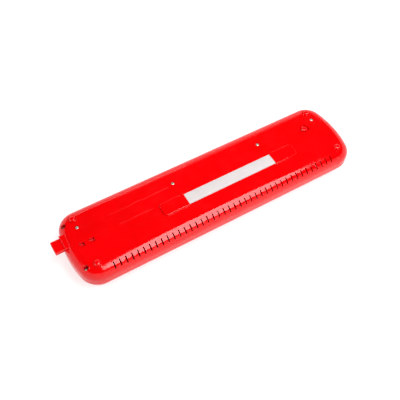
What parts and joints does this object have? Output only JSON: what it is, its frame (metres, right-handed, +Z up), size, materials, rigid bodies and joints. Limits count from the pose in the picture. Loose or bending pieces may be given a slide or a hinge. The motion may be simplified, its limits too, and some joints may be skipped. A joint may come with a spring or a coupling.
{
  "type": "melodica",
  "caption": "Red moulded melodica lying on its keys: a keyboard wind instrument with a slitted back, flat blow neck, hand strap, feet and water-release button.",
  "frame": {"origin": "on the surface the instrument lies on, under the middle of its box, blow neck included", "axes": "+Z up out of the back cover, +X from the blow neck to the treble end, +Y towards the key fronts; the key tops face -Z"},
  "size_m": [0.446, 0.11, 0.046],
  "materials": {
    "red_abs": "polished mould",
    "key_white": "polished mould",
    "key_black": "satin mould",
    "chest_abs": "moulded",
    "silicone": "moulded",
    "steel": "zinc plated",
    "plate_brass": "rolled",
    "reed_bronze": "filed",
    "spring_bronze": "rolled",
    "felt": "pressed felt",
    "strap_vinyl": "woven and coated"
  },
  "bodies": {
    "body": {"back_cover": "red_abs", "front_case": "red_abs", "blow_neck": "red_abs", "back_feet": "red_abs", "strap_anchor_bass": "red_abs", "strap_anchor_treble": "red_abs", "wind_chest": "chest_abs", "chest_lid": "chest_abs", "chest_gasket": "silicone", "neck_gasket": "silicone", "chest_lid_screws": "steel", "crown_screws": "steel", "shoulder_screws": "steel", "anchor_screws": "steel", "reed_plate_screws": "steel", "key_axle": "steel", "bass_reed_plate": "plate_brass", "treble_reed_plate": "plate_brass", "reeds": "reed_bronze", "reed_rivets": "plate_brass", "key_springs": "spring_bronze", "key_spring_rivets": "plate_brass", "key_stop_felt": "felt", "hand_strap": "strap_vinyl", "water_button_spring": "steel"},
    "water_release": {"water_button": "red_abs", "water_valve_stem": "chest_abs", "water_valve_seal": "silicone"},
    "key_01_f": {"key_01_f": "key_white"},
    "key_02_f_sharp": {"key_02_f_sharp": "key_black"},
    "key_03_g": {"key_03_g": "key_white"},
    "key_04_g_sharp": {"key_04_g_sharp": "key_black"},
    "key_05_a": {"key_05_a": "key_white"},
    "key_06_a_sharp": {"key_06_a_sharp": "key_black"},
    "key_07_b": {"key_07_b": "key_white"},
    "key_08_c": {"key_08_c": "key_white"},
    "key_09_c_sharp": {"key_09_c_sharp": "key_black"},
    "key_10_d": {"key_10_d": "key_white"},
    "key_11_d_sharp": {"key_11_d_sharp": "key_black"},
    "key_12_e": {"key_12_e": "key_white"},
    "key_13_f": {"key_13_f": "key_white"},
    "key_14_f_sharp": {"key_14_f_sharp": "key_black"},
    "key_15_g": {"key_15_g": "key_white"},
    "key_16_g_sharp": {"key_16_g_sharp": "key_black"},
    "key_17_a": {"key_17_a": "key_white"},
    "key_18_a_sharp": {"key_18_a_sharp": "key_black"},
    "key_19_b": {"key_19_b": "key_white"},
    "key_20_c": {"key_20_c": "key_white"},
    "key_21_c_sharp": {"key_21_c_sharp": "key_black"},
    "key_22_d": {"key_22_d": "key_white"},
    "key_23_d_sharp": {"key_23_d_sharp": "key_black"},
    "key_24_e": {"key_24_e": "key_white"},
    "key_25_f": {"key_25_f": "key_white"},
    "key_26_f_sharp": {"key_26_f_sharp": "key_black"},
    "key_27_g": {"key_27_g": "key_white"},
    "key_28_g_sharp": {"key_28_g_sharp": "key_black"},
    "key_29_a": {"key_29_a": "key_white"},
    "key_30_a_sharp": {"key_30_a_sharp": "key_black"},
    "key_31_b": {"key_31_b": "key_white"},
    "key_32_c": {"key_32_c": "key_white"}
  },
  "joints": [
    {"name": "water_release_press", "type": "slide", "parent": "body", "child": "water_release", "axis": [0, 0, -1], "range_m": [0, 0.002], "stiffness_N_per_m": 300, "springref_m": -0.0035, "deforming": ["water_button_spring"]},
    {"name": "key_01_f_press", "type": "hinge", "parent": "body", "child": "key_01_f", "pos_m": [0, -0.023, 0.0145], "axis": [1, 0, 0], "range_deg": [0, 3.5], "stiffness_Nm_per_rad": 0.34, "springref_deg": -6.88, "deforming": ["key_springs"]},
    {"name": "key_02_f_sharp_press", "type": "hinge", "parent": "body", "child": "key_02_f_sharp", "pos_m": [0, -0.023, 0.0145], "axis": [1, 0, 0], "range_deg": [0, 3.5], "stiffness_Nm_per_rad": 0.34, "springref_deg": -6.88, "deforming": ["key_springs"]},
    {"name": "key_03_g_press", "type": "hinge", "parent": "body", "child": "key_03_g", "pos_m": [0, -0.023, 0.0145], "axis": [1, 0, 0], "range_deg": [0, 3.5], "stiffness_Nm_per_rad": 0.34, "springref_deg": -6.88, "deforming": ["key_springs"]},
    {"name": "key_04_g_sharp_press", "type": "hinge", "parent": "body", "child": "key_04_g_sharp", "pos_m": [0, -0.023, 0.0145], "axis": [1, 0, 0], "range_deg": [0, 3.5], "stiffness_Nm_per_rad": 0.34, "springref_deg": -6.88, "deforming": ["key_springs"]},
    {"name": "key_05_a_press", "type": "hinge", "parent": "body", "child": "key_05_a", "pos_m": [0, -0.023, 0.0145], "axis": [1, 0, 0], "range_deg": [0, 3.5], "stiffness_Nm_per_rad": 0.34, "springref_deg": -6.88, "deforming": ["key_springs"]},
    {"name": "key_06_a_sharp_press", "type": "hinge", "parent": "body", "child": "key_06_a_sharp", "pos_m": [0, -0.023, 0.0145], "axis": [1, 0, 0], "range_deg": [0, 3.5], "stiffness_Nm_per_rad": 0.34, "springref_deg": -6.88, "deforming": ["key_springs"]},
    {"name": "key_07_b_press", "type": "hinge", "parent": "body", "child": "key_07_b", "pos_m": [0, -0.023, 0.0145], "axis": [1, 0, 0], "range_deg": [0, 3.5], "stiffness_Nm_per_rad": 0.34, "springref_deg": -6.88, "deforming": ["key_springs"]},
    {"name": "key_08_c_press", "type": "hinge", "parent": "body", "child": "key_08_c", "pos_m": [0, -0.023, 0.0145], "axis": [1, 0, 0], "range_deg": [0, 3.5], "stiffness_Nm_per_rad": 0.34, "springref_deg": -6.88, "deforming": ["key_springs"]},
    {"name": "key_09_c_sharp_press", "type": "hinge", "parent": "body", "child": "key_09_c_sharp", "pos_m": [0, -0.023, 0.0145], "axis": [1, 0, 0], "range_deg": [0, 3.5], "stiffness_Nm_per_rad": 0.34, "springref_deg": -6.88, "deforming": ["key_springs"]},
    {"name": "key_10_d_press", "type": "hinge", "parent": "body", "child": "key_10_d", "pos_m": [0, -0.023, 0.0145], "axis": [1, 0, 0], "range_deg": [0, 3.5], "stiffness_Nm_per_rad": 0.34, "springref_deg": -6.88, "deforming": ["key_springs"]},
    {"name": "key_11_d_sharp_press", "type": "hinge", "parent": "body", "child": "key_11_d_sharp", "pos_m": [0, -0.023, 0.0145], "axis": [1, 0, 0], "range_deg": [0, 3.5], "stiffness_Nm_per_rad": 0.34, "springref_deg": -6.88, "deforming": ["key_springs"]},
    {"name": "key_12_e_press", "type": "hinge", "parent": "body", "child": "key_12_e", "pos_m": [0, -0.023, 0.0145], "axis": [1, 0, 0], "range_deg": [0, 3.5], "stiffness_Nm_per_rad": 0.34, "springref_deg": -6.88, "deforming": ["key_springs"]},
    {"name": "key_13_f_press", "type": "hinge", "parent": "body", "child": "key_13_f", "pos_m": [0, -0.023, 0.0145], "axis": [1, 0, 0], "range_deg": [0, 3.5], "stiffness_Nm_per_rad": 0.34, "springref_deg": -6.88, "deforming": ["key_springs"]},
    {"name": "key_14_f_sharp_press", "type": "hinge", "parent": "body", "child": "key_14_f_sharp", "pos_m": [0, -0.023, 0.0145], "axis": [1, 0, 0], "range_deg": [0, 3.5], "stiffness_Nm_per_rad": 0.34, "springref_deg": -6.88, "deforming": ["key_springs"]},
    {"name": "key_15_g_press", "type": "hinge", "parent": "body", "child": "key_15_g", "pos_m": [0, -0.023, 0.0145], "axis": [1, 0, 0], "range_deg": [0, 3.5], "stiffness_Nm_per_rad": 0.34, "springref_deg": -6.88, "deforming": ["key_springs"]},
    {"name": "key_16_g_sharp_press", "type": "hinge", "parent": "body", "child": "key_16_g_sharp", "pos_m": [0, -0.023, 0.0145], "axis": [1, 0, 0], "range_deg": [0, 3.5], "stiffness_Nm_per_rad": 0.34, "springref_deg": -6.88, "deforming": ["key_springs"]},
    {"name": "key_17_a_press", "type": "hinge", "parent": "body", "child": "key_17_a", "pos_m": [0, -0.023, 0.0145], "axis": [1, 0, 0], "range_deg": [0, 3.5], "stiffness_Nm_per_rad": 0.34, "springref_deg": -6.88, "deforming": ["key_springs"]},
    {"name": "key_18_a_sharp_press", "type": "hinge", "parent": "body", "child": "key_18_a_sharp", "pos_m": [0, -0.023, 0.0145], "axis": [1, 0, 0], "range_deg": [0, 3.5], "stiffness_Nm_per_rad": 0.34, "springref_deg": -6.88, "deforming": ["key_springs"]},
    {"name": "key_19_b_press", "type": "hinge", "parent": "body", "child": "key_19_b", "pos_m": [0, -0.023, 0.0145], "axis": [1, 0, 0], "range_deg": [0, 3.5], "stiffness_Nm_per_rad": 0.34, "springref_deg": -6.88, "deforming": ["key_springs"]},
    {"name": "key_20_c_press", "type": "hinge", "parent": "body", "child": "key_20_c", "pos_m": [0, -0.023, 0.0145], "axis": [1, 0, 0], "range_deg": [0, 3.5], "stiffness_Nm_per_rad": 0.34, "springref_deg": -6.88, "deforming": ["key_springs"]},
    {"name": "key_21_c_sharp_press", "type": "hinge", "parent": "body", "child": "key_21_c_sharp", "pos_m": [0, -0.023, 0.0145], "axis": [1, 0, 0], "range_deg": [0, 3.5], "stiffness_Nm_per_rad": 0.34, "springref_deg": -6.88, "deforming": ["key_springs"]},
    {"name": "key_22_d_press", "type": "hinge", "parent": "body", "child": "key_22_d", "pos_m": [0, -0.023, 0.0145], "axis": [1, 0, 0], "range_deg": [0, 3.5], "stiffness_Nm_per_rad": 0.34, "springref_deg": -6.88, "deforming": ["key_springs"]},
    {"name": "key_23_d_sharp_press", "type": "hinge", "parent": "body", "child": "key_23_d_sharp", "pos_m": [0, -0.023, 0.0145], "axis": [1, 0, 0], "range_deg": [0, 3.5], "stiffness_Nm_per_rad": 0.34, "springref_deg": -6.88, "deforming": ["key_springs"]},
    {"name": "key_24_e_press", "type": "hinge", "parent": "body", "child": "key_24_e", "pos_m": [0, -0.023, 0.0145], "axis": [1, 0, 0], "range_deg": [0, 3.5], "stiffness_Nm_per_rad": 0.34, "springref_deg": -6.88, "deforming": ["key_springs"]},
    {"name": "key_25_f_press", "type": "hinge", "parent": "body", "child": "key_25_f", "pos_m": [0, -0.023, 0.0145], "axis": [1, 0, 0], "range_deg": [0, 3.5], "stiffness_Nm_per_rad": 0.34, "springref_deg": -6.88, "deforming": ["key_springs"]},
    {"name": "key_26_f_sharp_press", "type": "hinge", "parent": "body", "child": "key_26_f_sharp", "pos_m": [0, -0.023, 0.0145], "axis": [1, 0, 0], "range_deg": [0, 3.5], "stiffness_Nm_per_rad": 0.34, "springref_deg": -6.88, "deforming": ["key_springs"]},
    {"name": "key_27_g_press", "type": "hinge", "parent": "body", "child": "key_27_g", "pos_m": [0, -0.023, 0.0145], "axis": [1, 0, 0], "range_deg": [0, 3.5], "stiffness_Nm_per_rad": 0.34, "springref_deg": -6.88, "deforming": ["key_springs"]},
    {"name": "key_28_g_sharp_press", "type": "hinge", "parent": "body", "child": "key_28_g_sharp", "pos_m": [0, -0.023, 0.0145], "axis": [1, 0, 0], "range_deg": [0, 3.5], "stiffness_Nm_per_rad": 0.34, "springref_deg": -6.88, "deforming": ["key_springs"]},
    {"name": "key_29_a_press", "type": "hinge", "parent": "body", "child": "key_29_a", "pos_m": [0, -0.023, 0.0145], "axis": [1, 0, 0], "range_deg": [0, 3.5], "stiffness_Nm_per_rad": 0.34, "springref_deg": -6.88, "deforming": ["key_springs"]},
    {"name": "key_30_a_sharp_press", "type": "hinge", "parent": "body", "child": "key_30_a_sharp", "pos_m": [0, -0.023, 0.0145], "axis": [1, 0, 0], "range_deg": [0, 3.5], "stiffness_Nm_per_rad": 0.34, "springref_deg": -6.88, "deforming": ["key_springs"]},
    {"name": "key_31_b_press", "type": "hinge", "parent": "body", "child": "key_31_b", "pos_m": [0, -0.023, 0.0145], "axis": [1, 0, 0], "range_deg": [0, 3.5], "stiffness_Nm_per_rad": 0.34, "springref_deg": -6.88, "deforming": ["key_springs"]},
    {"name": "key_32_c_press", "type": "hinge", "parent": "body", "child": "key_32_c", "pos_m": [0, -0.023, 0.0145], "axis": [1, 0, 0], "range_deg": [0, 3.5], "stiffness_Nm_per_rad": 0.34, "springref_deg": -6.88, "deforming": ["key_springs"]}
  ]
}
